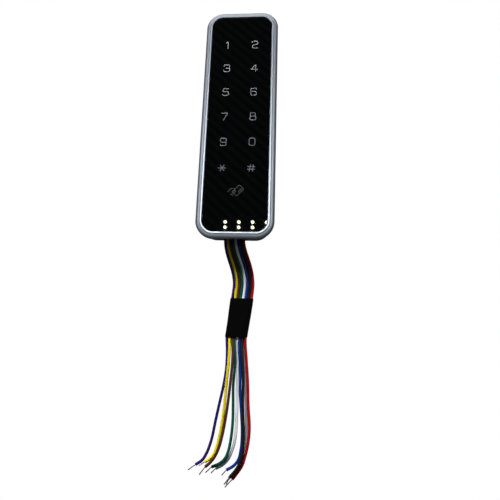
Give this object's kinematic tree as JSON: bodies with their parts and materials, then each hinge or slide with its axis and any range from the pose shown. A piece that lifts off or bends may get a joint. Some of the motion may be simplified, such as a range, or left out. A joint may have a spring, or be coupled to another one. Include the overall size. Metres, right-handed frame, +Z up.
{
  "type": "keypad access reader",
  "caption": "Slim upright keypad access reader with a silver frame and gloss black touch panel, hinged on a wall bracket, with loose coloured leads below.",
  "frame": {"origin": "centre of the wall bracket's rear face, in the plane of the wall", "axes": "+Z up along the reader, +Y into the wall; the keypad faces -Y and +X is to the right of someone facing it"},
  "size_m": [0.05, 0.018, 0.3088],
  "materials": {
    "satin_silver": "satin silver, rounded outer edge, brighter inner lip",
    "smoked_panel": "gloss black with faint slanting stripes and grey printed figures",
    "case_black": "fine textured black moulding",
    "zinc_steel": "zinc-plated sheet",
    "screw_steel": "plain steel",
    "board_green": "green solder resist",
    "chip_black": "moulded black",
    "led_white": "clear white lens",
    "diffuser_white": "milky light guide",
    "foam_black": "black adhesive foam",
    "seal_grey": "grey weather seal",
    "coil_copper": "enamelled copper winding",
    "ferrite_grey": "dark grey ferrite sheet",
    "connector_cream": "cream nylon",
    "grommet_rubber": "black rubber",
    "sleeve_black": "matt black shrunk sleeve",
    "tinned_copper": "tinned strands",
    "plunger_white": "white acetal",
    "spring_steel": "bright spring wire",
    "wire_violet": "violet insulation, semi-gloss",
    "wire_yellow": "yellow insulation, semi-gloss",
    "wire_brown": "brown insulation, semi-gloss",
    "wire_green": "green insulation, semi-gloss",
    "wire_white": "white insulation, semi-gloss",
    "wire_blue": "blue insulation, semi-gloss",
    "wire_black": "black insulation, semi-gloss",
    "wire_grey": "grey insulation, semi-gloss",
    "wire_red": "red insulation, semi-gloss"
  },
  "bodies": {
    "bracket": {"wall_bracket": "zinc_steel"},
    "reader": {"antenna_coil": "coil_copper", "bezel_frame": "satin_silver", "board_header": "connector_cream", "board_screw_1": "screw_steel", "board_screw_2": "screw_steel", "board_socket": "connector_cream", "buzzer": "chip_black", "cable_clamp": "chip_black", "cable_grommet": "grommet_rubber", "case_screw_lower_left": "screw_steel", "case_screw_lower_right": "screw_steel", "case_screw_upper_left": "screw_steel", "case_screw_upper_right": "screw_steel", "clamp_screw_left": "screw_steel", "clamp_screw_right": "screw_steel", "core_black": "tinned_copper", "core_blue": "tinned_copper", "core_brown": "tinned_copper", "core_green": "tinned_copper", "core_grey": "tinned_copper", "core_red": "tinned_copper", "core_violet": "tinned_copper", "core_white": "tinned_copper", "core_yellow": "tinned_copper", "ferrite_sheet": "ferrite_grey", "front_panel": "smoked_panel", "housing_seal": "seal_grey", "icon_led": "led_white", "light_guide": "diffuser_white", "lock_screw": "screw_steel", "main_board": "board_green", "panel_gasket": "foam_black", "processor_chip": "chip_black", "reader_chip": "chip_black", "rear_housing": "case_black", "row_led_1": "led_white", "row_led_2": "led_white", "row_led_3": "led_white", "row_led_4": "led_white", "row_led_5": "led_white", "row_led_6": "led_white", "tamper_spring": "spring_steel", "tamper_switch": "chip_black", "touch_board": "board_green", "touch_controller": "chip_black", "wire_black": "wire_black", "wire_blue": "wire_blue", "wire_brown": "wire_brown", "wire_green": "wire_green", "wire_grey": "wire_grey", "wire_header": "connector_cream", "wire_plug": "connector_cream", "wire_red": "wire_red", "wire_sleeve": "sleeve_black", "wire_violet": "wire_violet", "wire_white": "wire_white", "wire_yellow": "wire_yellow"},
    "tamper": {"tamper_plunger": "plunger_white"}
  },
  "joints": [
    {"name": "reader_swing", "type": "hinge", "parent": "bracket", "child": "reader", "pos_m": [0, -0.0025, 0.069], "axis": [-1, 0, 0], "range_deg": [0, 15]},
    {"name": "tamper_press", "type": "slide", "parent": "reader", "child": "tamper", "axis": [0, 1, 0], "range_m": [0, 0.0018], "stiffness_N_per_m": 60, "springref_m": 0.0025}
  ]
}
